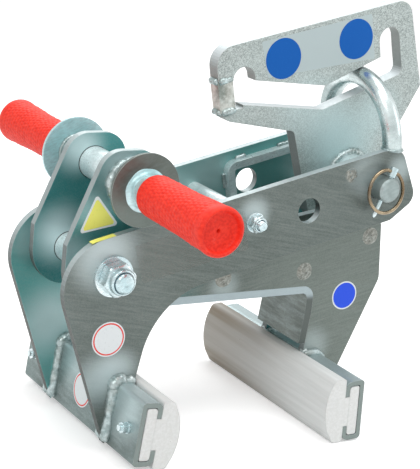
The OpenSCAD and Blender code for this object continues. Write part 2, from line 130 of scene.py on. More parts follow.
camera_data = bpy.data.cameras.new("camera")
camera_data.sensor_width = SENSOR
camera_data.lens = FOCAL_PIXELS * SENSOR / LONG_SIDE_PIXELS
camera_data.clip_end = 50
camera = bpy.data.objects.new("camera", camera_data)
turn = Matrix((rolled_right, rolled_up, -ahead)).transposed()
camera.matrix_world = Matrix.Translation(CAMERA_AT) @ turn.to_4x4()
bpy.context.scene.collection.objects.link(camera)
bpy.context.scene.camera = camera
bpy.context.scene.view_settings.view_transform = "Standard"
print("lens", round(camera_data.lens, 2), "mm")

# %% [markdown]
# ## Light
# A wide soft lamp above, one at the upper left and weaker ones at the right and behind give
# the plates their broad sheen. The world is white where the camera or a mirror-like surface looks at it,
# and dimmer as a light, so the steel doesn't clip.

# %% Nodes by name
def node(tree, kind, inputs=None, **settings):
    """Adds a shader node; an input is given a value, or the socket that feeds it."""
    made = tree.nodes.new("ShaderNode" + kind)
    for key, value in settings.items():
        setattr(made, key, value)
    for key, value in (inputs or {}).items():
        if isinstance(value, bpy.types.NodeSocket):
            tree.links.new(value, made.inputs[key])
        else:
            made.inputs[key].default_value = value
    return made


def maths(tree, operation, a, b=0.0, clamp=False):
    return node(tree, "Math", {0: a, 1: b}, operation=operation, use_clamp=clamp).outputs[0]


def mix(tree, factor, a, b):
    return node(tree, "Mix", {0: factor, 6: a, 7: b}, data_type="RGBA").outputs[2]


def ramp(tree, value, low, high, to_low=0.0, to_high=1.0, smooth=True):
    kind = "SMOOTHSTEP" if smooth else "LINEAR"
    made = node(tree, "MapRange", {0: value, 1: low, 2: high, 3: to_low, 4: to_high},
                interpolation_type=kind)
    return made.outputs[0]


print("node helpers ready")

# %% World and lamps
WORLD_LIGHT = 0.62
world = bpy.data.worlds.new("studio")
bpy.context.scene.world = world
world.use_nodes = True
tree = world.node_tree
tree.nodes.clear()
path = node(tree, "LightPath")
seen = maths(tree, "ADD", path.outputs["Is Camera Ray"], path.outputs["Is Glossy Ray"], True)
seen = maths(tree, "ADD", seen, path.outputs["Is Transmission Ray"], True)
strength = ramp(tree, seen, 0.0, 1.0, WORLD_LIGHT, 1.0, False)
sky = node(tree, "Background", {"Color": (1, 1, 1, 1), "Strength": strength})
node(tree, "OutputWorld", {"Surface": sky.outputs[0]})


def lamp(name, place, target, size, power, colour=(1, 1, 1)):
    data = bpy.data.lights.new(name, "AREA")
    data.shape = "RECTANGLE"
    data.size, data.size_y = size
    data.energy = power
    data.color = colour
    made = bpy.data.objects.new(name, data)
    made.location = place
    made.rotation_mode = "QUATERNION"
    made.rotation_quaternion = (Vector(target) - Vector(place)).to_track_quat("-Z", "Y")
    bpy.context.scene.collection.objects.link(made)
    return made


AIM = (0, 0, 0.2)
lamp("key_lamp", (-1.5, -1.0, 1.9), AIM, (0.8, 0.6), 13, (1.0, 0.99, 0.97))
lamp("top_lamp", (0.2, -0.3, 2.2), AIM, (1.5, 1.0), 22)
lamp("side_lamp", (1.8, -1.0, 0.9), AIM, (0.7, 1.2), 5, (0.93, 0.98, 1.0))
lamp("back_lamp", (0.6, 1.8, 1.5), AIM, (1.2, 0.7), 8, (0.95, 0.99, 1.0))

# %% Floor
floor_mesh = bpy.data.meshes.new("floor")
reach = 5.0
floor_mesh.from_pydata([(-reach, -reach, 0), (reach, -reach, 0), (reach, reach, 0),
                        (-reach, reach, 0)], [], [(0, 1, 2, 3)])
floor = bpy.data.objects.new("floor", floor_mesh)
floor.location.z = -0.0004
bpy.context.scene.collection.objects.link(floor)
floor_paint = bpy.data.materials.new("pale_floor")
floor_paint.use_nodes = True
tree = floor_paint.node_tree
shader = tree.nodes["Principled BSDF"]
shader.inputs["Base Color"].default_value = (0.86, 0.86, 0.86, 1)
shader.inputs["Roughness"].default_value = 0.9
path = node(tree, "LightPath")
glow = node(tree, "Emission", {"Color": (1, 1, 1, 1), "Strength": 0.42})
lit = node(tree, "AddShader", {0: shader.outputs[0], 1: glow.outputs[0]})
seen = maths(tree, "ADD", path.outputs["Is Camera Ray"], path.outputs["Is Glossy Ray"], True)
both = node(tree, "MixShader", {0: seen, 1: shader.outputs[0], 2: lit.outputs[0]})
tree.links.new(both.outputs[0], tree.nodes["Material Output"].inputs["Surface"])
floor_mesh.materials.append(floor_paint)
print("floor ready")

# %% [markdown]
# ## Shared effects
# Rolled plate has long fine lines, hot zinc has small grains, sawn and handled edges are
# brighter, and light pools softly on slightly wavy sheet. Each effect is a node group with its
# own named sockets, so one effect serves several finishes with different values.

# %% Group maker
def new_group(name, inputs, outputs):
    """inputs and outputs map a socket's name to its kind; inputs may give a default too."""
    made = bpy.data.node_groups.new(name, "ShaderNodeTree")
    for key, (kind, default) in inputs.items():
        socket = made.interface.new_socket(name=key, in_out="INPUT", socket_type="NodeSocket" + kind)
        if default is not None:
            socket.default_value = default
    for key, kind in outputs.items():
        made.interface.new_socket(name=key, in_out="OUTPUT", socket_type="NodeSocket" + kind)
    return made, made.nodes.new("NodeGroupInput"), made.nodes.new("NodeGroupOutput")


def use_group(tree, group, inputs):
    made = node(tree, "Group", None, node_tree=group)
    for key, value in inputs.items():
        if isinstance(value, bpy.types.NodeSocket):
            tree.links.new(value, made.inputs[key])
        else:
            made.inputs[key].default_value = value
    return made


print("group maker ready")

# %% Rolled grain
rolled_grain, given, result = new_group(
    "rolled_grain",
    {"Vector": ("Vector", None), "Angle": ("Float", 0.0), "Scale": ("Float", 60.0),
     "Stretch": ("Float", 12.0)}, {"Lines": "Float"})
turned = node(rolled_grain, "VectorRotate", {"Vector": given.outputs["Vector"],
                                             "Angle": given.outputs["Angle"]},
              rotation_type="Y_AXIS")
squeezed = node(rolled_grain, "CombineXYZ", {0: 1.0, 1: 1.0, 2: given.outputs["Stretch"]})
pulled = node(rolled_grain, "VectorMath", {0: turned.outputs[0], 1: squeezed.outputs[0]},
              operation="MULTIPLY")
fine = node(rolled_grain, "TexNoise", {"Vector": pulled.outputs[0],
                                       "Scale": given.outputs["Scale"], "Detail": 6.0,
                                       "Roughness": 0.65})
rolled_grain.links.new(fine.outputs[0], result.inputs["Lines"])
print("rolled grain ready")

# %% Zinc grains
zinc_grains, given, result = new_group(
    "zinc_grains", {"Vector": ("Vector", None), "Scale": ("Float", 900.0)}, {"Grains": "Float"})
cells = node(zinc_grains, "TexVoronoi", {"Vector": given.outputs["Vector"],
                                         "Scale": given.outputs["Scale"]})
grey = node(zinc_grains, "SeparateColor", {0: cells.outputs["Color"]})
broad = node(zinc_grains, "TexNoise", {"Vector": given.outputs["Vector"], "Scale": 240.0,
                                       "Detail": 5.0, "Roughness": 0.7})
half = maths(zinc_grains, "MULTIPLY", grey.outputs[0], 0.55)
rest = maths(zinc_grains, "MULTIPLY", broad.outputs[0], 0.45)
total = maths(zinc_grains, "ADD", half, rest)
zinc_grains.links.new(total, result.inputs["Grains"])
print("zinc grains ready")

# %% Soft clouds
soft_clouds, given, result = new_group(
    "soft_clouds", {"Vector": ("Vector", None), "Scale": ("Float", 9.0)}, {"Cloud": "Float"})
cloud = node(soft_clouds, "TexNoise", {"Vector": given.outputs["Vector"],
                                       "Scale": given.outputs["Scale"], "Detail": 3.0,
                                       "Roughness": 0.5, "Distortion": 0.4})
clear = ramp(soft_clouds, cloud.outputs[0], 0.32, 0.68)
soft_clouds.links.new(clear, result.inputs["Cloud"])
print("soft clouds ready")

# %% Pool of light
pool, given, result = new_group(
    "pool_of_light",
    {"Vector": ("Vector", None), "Centre": ("Vector", (0, 0, 0)), "Radius": ("Float", 0.05)},
    {"Mask": "Float"})
apart = node(pool, "VectorMath", {0: given.outputs["Vector"], 1: given.outputs["Centre"]},
             operation="DISTANCE")
share = maths(pool, "DIVIDE", apart.outputs["Value"], given.outputs["Radius"])
pool.links.new(ramp(pool, share, 1.0, 0.15), result.inputs["Mask"])
print("pool of light ready")

# %% Worn edge
worn_edge, given, result = new_group("worn_edge", {"Width": ("Float", 0.0012)},
                                     {"Mask": "Float", "Normal": "Vector"})
rounded = node(worn_edge, "Bevel", {"Radius": given.outputs["Width"]}, samples=6)
true_normal = node(worn_edge, "NewGeometry")
along = node(worn_edge, "VectorMath", {0: rounded.outputs[0], 1: true_normal.outputs["Normal"]},
             operation="DOT_PRODUCT")
worn_edge.links.new(ramp(worn_edge, along.outputs["Value"], 0.995, 0.8), result.inputs["Mask"])
worn_edge.links.new(rounded.outputs[0], result.inputs["Normal"])
print("worn edge ready")

# %% [markdown]
# ## Finishes
# A material starts from one helper that gives the shader, the object's own coordinates and the
# object's own normal. Object coordinates don't move when a body turns, so the grain stays put.

# %% Material maker
def new_material(name):
    made = bpy.data.materials.new(name)
    made.use_nodes = True
    tree = made.node_tree
    shader = tree.nodes["Principled BSDF"]
    where = node(tree, "TexCoord")
    return made, tree, shader, where.outputs["Object"], where.outputs["Normal"]


def feed(tree, shader, **inputs):
    for key, value in inputs.items():
        socket = shader.inputs[key.replace("_", " ")]
        if isinstance(value, bpy.types.NodeSocket):
            tree.links.new(value, socket)
        else:
            socket.default_value = value


def bumped(tree, height, strength, distance, normal=None):
    inputs = {"Height": height, "Strength": strength, "Distance": distance}
    if normal is not None:
        inputs["Normal"] = normal
    return node(tree, "Bump", inputs).outputs[0]


def facing_out(tree, where, normal):
    """1 on a plate's outer face, 0 on its inner face, and the share that is a flat side."""
    place = node(tree, "SeparateXYZ", {0: where})
    facing = node(tree, "SeparateXYZ", {0: normal})
    signed = maths(tree, "MULTIPLY", maths(tree, "SIGN", place.outputs[1]), facing.outputs[1])
    outward = ramp(tree, signed, -0.1, 0.1)
    side = ramp(tree, maths(tree, "ABSOLUTE", facing.outputs[1]), 0.6, 0.8)
    return outward, side


def painted_light_and_stain_spots(tree, where, colour, pools, light):
    """Lays soft round spots of a colour over a colour, each given as centre, radius in mm and share:
    painted pools of light, and on the hook plate a brown stain.
    """
    for centre, radius, share in pools:
        spot = use_group(tree, pool, {"Vector": where, "Centre": centre,
                                      "Radius": radius * MM}).outputs[0]
        colour = mix(tree, maths(tree, "MULTIPLY", spot, share), colour, light)
    return colour


def rubbed_edges(tree, edge, share, colour, light):
    return mix(tree, maths(tree, "MULTIPLY", edge.outputs["Mask"], share), colour, light)


def grain_of(tree, where, scale, stretch, angle=0.0):
    return use_group(tree, rolled_grain, {"Vector": where, "Angle": angle, "Scale": scale,
                                          "Stretch": stretch}).outputs[0]


def noise_of(tree, where, scale, detail, roughness=0.5):
    return node(tree, "TexNoise", {"Vector": where, "Scale": scale, "Detail": detail,
                                   "Roughness": roughness}).outputs[0]


def scaled(tree, where, along_y):
    """Coordinates drawn out or squeezed along Y, for marks that run along a part."""
    factors = node(tree, "CombineXYZ", {0: 1.0, 1: along_y, 2: 1.0})
    made = node(tree, "VectorMath", {0: where, 1: factors.outputs[0]}, operation="MULTIPLY")
    return made.outputs[0]


def rgb(red, green, blue):
    """A colour given as it looks on screen, from 0 to 255."""
    def linear(v):
        v = v / 255
        return v / 12.92 if v <= 0.04045 else ((v + 0.055) / 1.055) ** 2.4
    return (linear(red), linear(green), linear(blue), 1)


print("material maker ready")

# %% [markdown]
# The side plates are rolled sheet with bright zinc over it. Outside they are olive grey with
# diagonal lines. Inside they mirror each other, and a teal reflection is painted on them. Cut
# edges get painted light from above: pale where they face up, dark where they face down. Soft
# blue-white pools of light are painted on near bolts and welds.

# %% Side plates
def painted_light_on_cut_sides(tree, normal, dark, light):
    """Sawn sides with painted light from above: those that face up are painted bright, those that face
    down painted dark.
    """
    facing = node(tree, "SeparateXYZ", {0: normal})
    return mix(tree, ramp(tree, facing.outputs[2], -0.35, 0.75), dark, light)


def plate_material(name, outside, outside_dark, inside, inside_dark, pools, angle, reflected_teal_until):
    """The last argument is the X, in metres, up to which the outer face takes the painted teal
    reflection as well.
    """
    made, tree, shader, where, normal = new_material(name)
    outward, side = facing_out(tree, where, normal)
    place = node(tree, "SeparateXYZ", {0: where})
    # Left of the given X the outer face takes the painted teal reflection as well.
    plain = ramp(tree, place.outputs[0], reflected_teal_until, reflected_teal_until + 0.09)
    outward = maths(tree, "MULTIPLY", outward, plain)
    lines = grain_of(tree, where, 28.0, 16.0, angle)
    hair = grain_of(tree, where, 110.0, 22.0, angle)
    cloud = use_group(tree, soft_clouds, {"Vector": where, "Scale": 7.0}).outputs[0]
    grains = use_group(tree, zinc_grains, {"Vector": where, "Scale": 1100.0}).outputs[0]
    edge = use_group(tree, worn_edge, {"Width": 0.0007})
    # Outer and inner faces differ in colour: the teal on the inner faces is painted reflection.
    outer = mix(tree, cloud, outside_dark, outside)
    inner = mix(tree, cloud, inside_dark, inside)
    colour = mix(tree, outward, inner, outer)
    amount = mix(tree, outward, (0.08, 0.08, 0.08, 1), (0.3, 0.3, 0.3, 1))
    streak = maths(tree, "MULTIPLY", ramp(tree, lines, 0.35, 0.75), amount)
    scratch = maths(tree, "MULTIPLY", ramp(tree, hair, 0.5, 0.75), amount)
    colour = mix(tree, streak, colour, rgb(148, 156, 152))
    colour = mix(tree, scratch, colour, rgb(78, 86, 82))
    colour = mix(tree, ramp(tree, grains, 0.3, 0.7, 0.0, 0.08), colour, rgb(176, 184, 180))
    # Soft blue-white pools of painted light.
    colour = painted_light_and_stain_spots(tree, where, colour, pools, rgb(214, 230, 232))
    # Sawn sides take painted light from above.
    colour = mix(tree, side, painted_light_on_cut_sides(tree, normal, rgb(58, 65, 62), rgb(176, 188, 189)), colour)
    colour = rubbed_edges(tree, edge, 0.3, colour, rgb(190, 194, 190))
    height = maths(tree, "ADD", lines, maths(tree, "MULTIPLY", hair, 0.5))
    feed(tree, shader, Base_Color=colour, Metallic=0.5,
         Roughness=ramp(tree, lines, 0.2, 0.8, 0.34, 0.52),
         Normal=bumped(tree, height, 0.16, 0.0004, edge.outputs["Normal"]))
    return made


FRONT_FACE = -INNER_Y
REAR_FACE = INNER_Y - PLATE
FAR_FACE = OUTER_Y - PLATE
# Pools of painted light: centre, radius in mm and share.
OUTER_LIGHT_POOLS = [(beam(-6, -OUTER_Y, 22), 46, 0.6), (beam(157.8, -OUTER_Y, 16), 24, 0.5),
               (beam(292, -OUTER_Y, 20), 30, 0.35), (beam(334, -OUTER_Y, 14), 22, 0.4),
               (level(-4, -OUTER_Y, -104), 38, 0.5), (level(14, -OUTER_Y, -96), 30, 0.5),
               (level(-2, FAR_FACE, -86), 52, 0.6), (beam(120, FAR_FACE, 14), 60, 0.55),
               (beam(180, FAR_FACE, 20), 40, 0.4), (beam(300, FAR_FACE, 6), 44, 0.5),
               (beam(-30, FAR_FACE, 10), 30, 0.35)]
INNER_LIGHT_POOLS = [(level(12, FRONT_FACE, 100), 36, 0.6), (level(-30, FRONT_FACE, 10), 32, 0.6),
               (level(-16, FRONT_FACE, 62), 34, 0.25), (level(-10, REAR_FACE, 14), 42, 0.85),
               (level(4, REAR_FACE, 98), 36, 0.7), (level(256, FRONT_FACE, -104), 30, 0.28),
               (level(140, FRONT_FACE, -30), 24, 0.3)]
outer_steel = plate_material("outer_plate_zinc", rgb(98, 108, 105), rgb(84, 94, 90),
                             rgb(118, 180, 178), rgb(92, 158, 155), OUTER_LIGHT_POOLS,
                             math.radians(-12), -1.0)
inner_steel = plate_material("inner_plate_zinc", rgb(104, 114, 108), rgb(90, 100, 95),
                             rgb(72, 150, 150), rgb(44, 114, 115), INNER_LIGHT_POOLS,
                             math.radians(12), PIVOT.x + 0.04)
print("side plates:", len(OUTER_LIGHT_POOLS) + len(INNER_LIGHT_POOLS), "pools of light")

# %% [markdown]
# The hook plate is coated more thickly. It is a flat grey speckle, with fine light and dark
# grains, soft pools of painted light, and painted light from above on its cut edges. A little
# brown shows where the end piece was welded in.

# %% Hook plate
# Pools of painted light on the hook plate.
HOOK_LIGHT_POOLS = [(beam(300, -8, 36), 62, 0.75), (beam(270, -8, 80), 60, 0.4),
              (beam(350, -8, 60), 40, 0.4)]


def speckled_material(name, light, dark, stain_at):
    made, tree, shader, where, normal = new_material(name)
    side = facing_out(tree, where, normal)[1]
    grains = use_group(tree, zinc_grains, {"Vector": where, "Scale": 1250.0}).outputs[0]
    cloud = use_group(tree, soft_clouds, {"Vector": where, "Scale": 11.0}).outputs[0]
    edge = use_group(tree, worn_edge, {"Width": 0.0012})
    colour = mix(tree, ramp(tree, grains, 0.25, 0.75), dark, light)
    colour = mix(tree, maths(tree, "MULTIPLY", cloud, 0.3), colour, rgb(176, 190, 188))
    # Soft pools of painted light.
    colour = painted_light_and_stain_spots(tree, where, colour, HOOK_LIGHT_POOLS, rgb(196, 222, 224))
    # Sawn sides take painted light from above.
    colour = mix(tree, side, painted_light_on_cut_sides(tree, normal, rgb(140, 146, 144), rgb(204, 212, 214)),
                 colour)
    colour = painted_light_and_stain_spots(tree, where, colour, [(stain_at, 30, 0.5)], rgb(138, 120, 108))
    colour = rubbed_edges(tree, edge, 0.45, colour, rgb(206, 208, 204))
    feed(tree, shader, Base_Color=colour, Metallic=0.5,
         Roughness=ramp(tree, grains, 0.2, 0.8, 0.42, 0.6),
         Normal=bumped(tree, grains, 0.3, 0.0003, edge.outputs["Normal"]))
    return made


hook_zinc = speckled_material("hook_plate_zinc", rgb(196, 205, 203), rgb(138, 147, 145),
                              beam(158, 0, 120))
print("hook plate finish ready")

# %% [markdown]
# Tubes, rings, the bow and the pin are bright zinc: smooth, a little blue, with faint drawn
# lines round the bar. The bolts are the same but shinier.

# %% Bright zinc
def bright_material(name, light, dark, rough, line_scale=180.0, edge_width=0.0008,
                    metallic=0.9):
    made, tree, shader, where, normal = new_material(name)
    lines = grain_of(tree, where, line_scale, 3.0, 0.4)
    cloud = use_group(tree, soft_clouds, {"Vector": where, "Scale": 24.0}).outputs[0]
    edge = use_group(tree, worn_edge, {"Width": edge_width})
    colour = mix(tree, cloud, dark, light)
    colour = mix(tree, ramp(tree, lines, 0.35, 0.7, 0.0, 0.3), colour, rgb(120, 132, 132))
    colour = rubbed_edges(tree, edge, 0.4, colour, rgb(214, 220, 220))
    feed(tree, shader, Base_Color=colour, Metallic=metallic,
         Roughness=ramp(tree, lines, 0.2, 0.8, rough - 0.06, rough + 0.12),
         Normal=bumped(tree, lines, 0.12, 0.0002, edge.outputs["Normal"]))
    return made


bright_zinc = bright_material("bright_zinc", rgb(240, 250, 251), rgb(200, 222, 224), 0.3,
                              metallic=0.5)
# The guard discs are one zinc in two copies: the front one in painted shade, the rear one, also used on
# the fillets, in painted light.
shaded_disc_zinc = bright_material("front_disc_painted_shade_zinc", rgb(106, 116, 110), rgb(90, 98, 92), 0.36,
                            metallic=0.6)
disc_painted_light_zinc = bright_material("disc_painted_light_zinc", rgb(214, 240, 244), rgb(168, 208, 212), 0.34,
                                 metallic=0.4)
bow_zinc = bright_material("bow_zinc", rgb(222, 234, 234), rgb(168, 182, 182), 0.24, 90.0)
bolt_zinc = bright_material("bolt_zinc", rgb(238, 248, 250), rgb(184, 210, 215), 0.24, 260.0,
                            0.0005, 0.75)
pin_steel = bright_material("pin_steel", rgb(168, 182, 182), rgb(130, 142, 140), 0.34,
                            metallic=0.6)
ring_wire = bright_material("ring_wire", rgb(184, 166, 138), rgb(112, 92, 66), 0.25, 60.0)
print("bright finishes ready")

# %% [markdown]
# The C rails are cold-formed strip. Outside they look like the plates, but their sawn ends are
# dark grey. Faces that look up get a painted highlight, and pools of light are painted on the
# left rail. The steel web is alike, with a paler edge above its bend.

# %% Rails
def rail_material(name, light, dark, end_colour, end_below, pools=()):
    """end_below is the colour of the sawn sides under the web's bend."""
    made, tree, shader, where, normal = new_material(name)
    side = facing_out(tree, where, normal)[1]
    lines = grain_of(tree, where, 34.0, 6.0)
    grains = use_group(tree, zinc_grains, {"Vector": where, "Scale": 900.0}).outputs[0]
    cloud = use_group(tree, soft_clouds, {"Vector": where, "Scale": 16.0}).outputs[0]
    edge = use_group(tree, worn_edge, {"Width": 0.001})
    colour = mix(tree, cloud, dark, light)
    colour = mix(tree, ramp(tree, lines, 0.35, 0.7, 0.0, 0.35), colour, rgb(170, 184, 184))
    colour = mix(tree, ramp(tree, grains, 0.3, 0.7, 0.0, 0.2), colour, rgb(90, 96, 92))
    # Pools of painted light.
    colour = painted_light_and_stain_spots(tree, where, colour, pools, rgb(206, 226, 228))
    place = node(tree, "SeparateXYZ", {0: where})
    facing = node(tree, "SeparateXYZ", {0: normal})
    # Faces that look up are painted lighter, a painted highlight.
    painted_top_highlight = ramp(tree, facing.outputs[2], 0.1, 0.7, 0.0, 0.65)
    colour = mix(tree, painted_top_highlight, colour, rgb(196, 212, 214))
    over_bend = ramp(tree, place.outputs[2], WEB_BEND_Z - 0.008, WEB_BEND_Z)
    colour = mix(tree, side, colour, mix(tree, over_bend, end_below, end_colour))
    colour = rubbed_edges(tree, edge, 0.25, colour, rgb(190, 198, 196))
    feed(tree, shader, Base_Color=colour, Metallic=0.6,
         Roughness=ramp(tree, grains, 0.2, 0.8, 0.32, 0.5),
         Normal=bumped(tree, lines, 0.12, 0.0003, edge.outputs["Normal"]))
    return made


WEB_BEND_Z = PIVOT.z - 0.044
# Pools of painted light on the left rail.
RAIL_LIGHT_POOLS = [(on_rail("left", 0, -88, 20), 52, 0.65), (on_rail("left", 0, 20, 26), 44, 0.5)]
rail_zinc = rail_material("rail_zinc", rgb(118, 134, 133), rgb(92, 106, 104),
                          rgb(126, 137, 134), rgb(126, 137, 134), RAIL_LIGHT_POOLS)
web_zinc = rail_material("web_zinc", rgb(114, 123, 118), rgb(92, 100, 96),
                         rgb(160, 174, 178), rgb(88, 95, 92))
print("rail finishes ready")

# %% [markdown]
# The jaw inserts are pale hard rubber, extruded, so fine lines run along them. Work leaves
# brownish dirt, most of it on the rear half of the right one.

# %% Jaw rubber
def insert_material(name, dirt_from, dirt_to, dirt_share):
    made, tree, shader, where, normal = new_material(name)
    place = node(tree, "SeparateXYZ", {0: where})
    facing = node(tree, "SeparateXYZ", {0: normal})
    drawn = scaled(tree, where, 0.035)
    lines = noise_of(tree, drawn, 260.0, 5.0, 0.6)
    spots = noise_of(tree, where, 420.0, 4.0)
    smear = use_group(tree, soft_clouds, {"Vector": drawn, "Scale": 42.0}).outputs[0]
    edge = use_group(tree, worn_edge, {"Width": 0.002})
    rear = ramp(tree, place.outputs[1], dirt_from, dirt_to)
    dirt = maths(tree, "MULTIPLY", rear, ramp(tree, smear, 0.0, 1.0, 0.6, 1.0))
    dirt = maths(tree, "MULTIPLY", dirt, dirt_share)
    colour = mix(tree, ramp(tree, lines, 0.3, 0.7, 0.0, 0.4), rgb(226, 229, 228),
                 rgb(200, 203, 201))
    colour = mix(tree, dirt, colour, rgb(150, 139, 122))
    sawn = ramp(tree, maths(tree, "ABSOLUTE", facing.outputs[1]), 0.6, 0.8)
    colour = mix(tree, sawn, colour, mix(tree, ramp(tree, spots, 0.35, 0.7), rgb(222, 224, 222),
                                         rgb(230, 232, 231)))
    colour = mix(tree, ramp(tree, spots, 0.72, 0.76, 0.0, 0.5), colour, rgb(120, 112, 100))
    feed(tree, shader, Base_Color=colour, Roughness=ramp(tree, lines, 0.2, 0.8, 0.45, 0.65),
         Normal=bumped(tree, lines, 0.1, 0.0004, edge.outputs["Normal"]))
    return made


insert_right = insert_material("jaw_rubber_right", -0.08, 0.12, 1.0)
insert_left = insert_material("jaw_rubber_left", 0.0, 0.3, 0.4)
print("jaw rubber ready")

# %% [markdown]
# The grips are soft red rubber with a fine mottle and pale specks of painted highlight. The
# weld metal is rough and bright, with a brownish tint in places.

# %% Grip rubber and weld metal
def grip_material():
    made, tree, shader, where, normal = new_material("red_grip_rubber")
    dashes = noise_of(tree, scaled(tree, where, 0.45), 380.0, 4.0)
    painted_glint_noise = noise_of(tree, where, 130.0, 6.0, 0.7)
    cloud = use_group(tree, soft_clouds, {"Vector": where, "Scale": 30.0}).outputs[0]
    colour = mix(tree, ramp(tree, dashes, 0.35, 0.65), rgb(246, 56, 34), rgb(230, 40, 22))
    # Pale specks of painted highlight.
    colour = mix(tree, ramp(tree, painted_glint_noise, 0.56, 0.74, 0.0, 0.45), colour, rgb(255, 112, 96))
    colour = mix(tree, maths(tree, "MULTIPLY", cloud, 0.15), colour, rgb(236, 44, 28))
    feed(tree, shader, Base_Color=colour, Roughness=0.55, Specular_IOR_Level=0.35,
         Normal=bumped(tree, dashes, 0.25, 0.0003))
    return made


def weld_material(name, dark, light, metallic, bump, scale=320.0):
    made, tree, shader, where, normal = new_material(name)
    rough = noise_of(tree, where, scale, 5.0, 0.7)
    tint = use_group(tree, soft_clouds, {"Vector": where, "Scale": 60.0}).outputs[0]
    colour = mix(tree, ramp(tree, rough, 0.35, 0.7), dark, light)
    colour = mix(tree, maths(tree, "MULTIPLY", tint, 0.25), colour, rgb(146, 132, 116))
    feed(tree, shader, Base_Color=colour, Metallic=metallic,
         Roughness=ramp(tree, rough, 0.2, 0.8, 0.24, 0.46),
         Normal=bumped(tree, rough, bump, 0.0006))
    return made


red_rubber = grip_material()
weld_metal = weld_material("weld_metal", rgb(138, 156, 156), rgb(204, 220, 222), 0.6, 0.3,
                           120.0)
ground_weld = weld_material("ground_weld", rgb(108, 112, 106), rgb(166, 170, 164), 0.55, 0.5)
cast_weld = weld_material("cast_weld", rgb(122, 130, 124), rgb(214, 220, 216), 0.85, 0.7, 60.0)
print("grip rubber and weld metal ready")

# %% [markdown]
# Stickers are thin printed vinyl. Each has one plain colour with a faint sheen and a few
# rubbed specks. The film on the hook plate is a pale see-through strip.

# %% Sticker vinyl
def vinyl(name, colour, specks, rough=0.35, alpha=1.0):
    made, tree, shader, where, normal = new_material(name)
    dust = noise_of(tree, where, 500.0, 5.0)
    paint = mix(tree, ramp(tree, dust, 0.6, 0.7, 0.0, 0.4), colour, specks)
    feed(tree, shader, Base_Color=paint, Roughness=rough, Alpha=alpha,
         Specular_IOR_Level=0.25, Normal=bumped(tree, dust, 0.08, 0.0001))
    return made


blue_vinyl = vinyl("blue_vinyl", rgb(0, 92, 178), rgb(10, 106, 190), 0.6)
violet_vinyl = vinyl("deep_blue_vinyl", rgb(48, 90, 236), rgb(80, 116, 238), 0.6)
white_vinyl = vinyl("white_vinyl", rgb(232, 238, 240), rgb(206, 212, 212))
red_vinyl = vinyl("red_vinyl", rgb(232, 70, 62), rgb(236, 110, 100))
yellow_vinyl = vinyl("yellow_vinyl", rgb(246, 243, 122), rgb(222, 218, 104))
# Painted shade for the gaps round the tubes, made like a sticker.
gap_painted_shade = vinyl("gap_painted_shade", rgb(30, 34, 34), rgb(52, 56, 54), 0.7)
clear_film = vinyl("clear_film", rgb(198, 214, 216), rgb(206, 218, 218), 0.4, 0.8)
faint_film = vinyl("faint_film", rgb(150, 152, 144), rgb(190, 192, 186), 0.28, 0.16)
nylon_blue = vinyl("blue_nylon", rgb(30, 40, 84), rgb(40, 54, 120), 0.4)
print("vinyl ready")

# %% [markdown]
# ## Finishes on the CAD pieces
# The plates, rails and pins keep their CAD meshes, which have the right shape already. They
# only take a finish.

# %% Dress the CAD pieces
FINISH = (
    (outer_steel, "outer_plate_front outer_plate_rear strap_plugs"),
    (inner_steel, "inner_plate_front inner_plate_rear cross_bars"),
    (web_zinc, "inner_web"),
    (bright_zinc, "pivot_tube pivot_spacers handle_tube tie_tube strap_front strap_rear hook_bush"),
    (shaded_disc_zinc, "hand_guard_front"),
    (disc_painted_light_zinc, "hand_guard_rear"),
    (hook_zinc, "hook_plate"),
    (cast_weld, "hook_end_bar"),
    (bow_zinc, "guide_bow"),
    (rail_zinc, "left_jaw_rail right_jaw_rail"),
    (insert_left, "left_jaw_insert"),
    (insert_right, "right_jaw_insert"),
    (bolt_zinc, "left_jaw_screws right_jaw_screws pivot_bolt pivot_nut pivot_nut_collar "
                "pivot_washers tie_bolt tie_nut tie_nut_collar tie_washers lynch_pin"),
    (pin_steel, "hitch_pin"),
    (ring_wire, "lynch_ring"),
    (red_rubber, "grip_front grip_rear"),
)
dressed = 0
for finish, names in FINISH:
    for name in names.split():
        mesh = nodes[name].data
        mesh.materials.clear()
        mesh.materials.append(finish)
        dressed += 1
print("dressed", dressed, "of", len(nodes), "CAD pieces")

# %% [markdown]
# ## Mesh helpers
# Most added pieces are made in one of two ways: a profile turned round a bolt's axis, or a
# tube of rings run along a path. Both end in one function that makes the object, gives it its
# finish and lets it ride on a body.

# %% Mesh makers
def piece(name, points, faces, body, finish, smooth=True):
    mesh = bpy.data.meshes.new(name)
    mesh.from_pydata([tuple(p) for p in points], [], faces)
    mesh.validate()
    shell = bmesh.new()
    shell.from_mesh(mesh)
    if all(len(edge.link_faces) == 2 for edge in shell.edges):
        bmesh.ops.recalc_face_normals(shell, faces=shell.faces[:])
        shell.to_mesh(mesh)
    shell.free()
    mesh.materials.append(finish)
    for polygon in mesh.polygons:
        polygon.use_smooth = smooth
    mesh.update()
    made = bpy.data.objects.new(name, mesh)
    bpy.context.scene.collection.objects.link(made)
    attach(made, body)
    return made


def ring_faces(rings, around, closed=False):
    """Quads between rows of points; each row goes once round."""
    faces = []
    for i in range(rings if closed else rings - 1):
        a = i * around
        b = ((i + 1) % rings) * around
        for j in range(around):
            k = (j + 1) % around
            faces.append((a + j, a + k, b + k, b + j))
    return faces


def end_caps(rings, around):
    """One face over the first row of points and one over the last."""
    last = (rings - 1) * around
    return [tuple(range(around - 1, -1, -1)), tuple(last + j for j in range(around))]


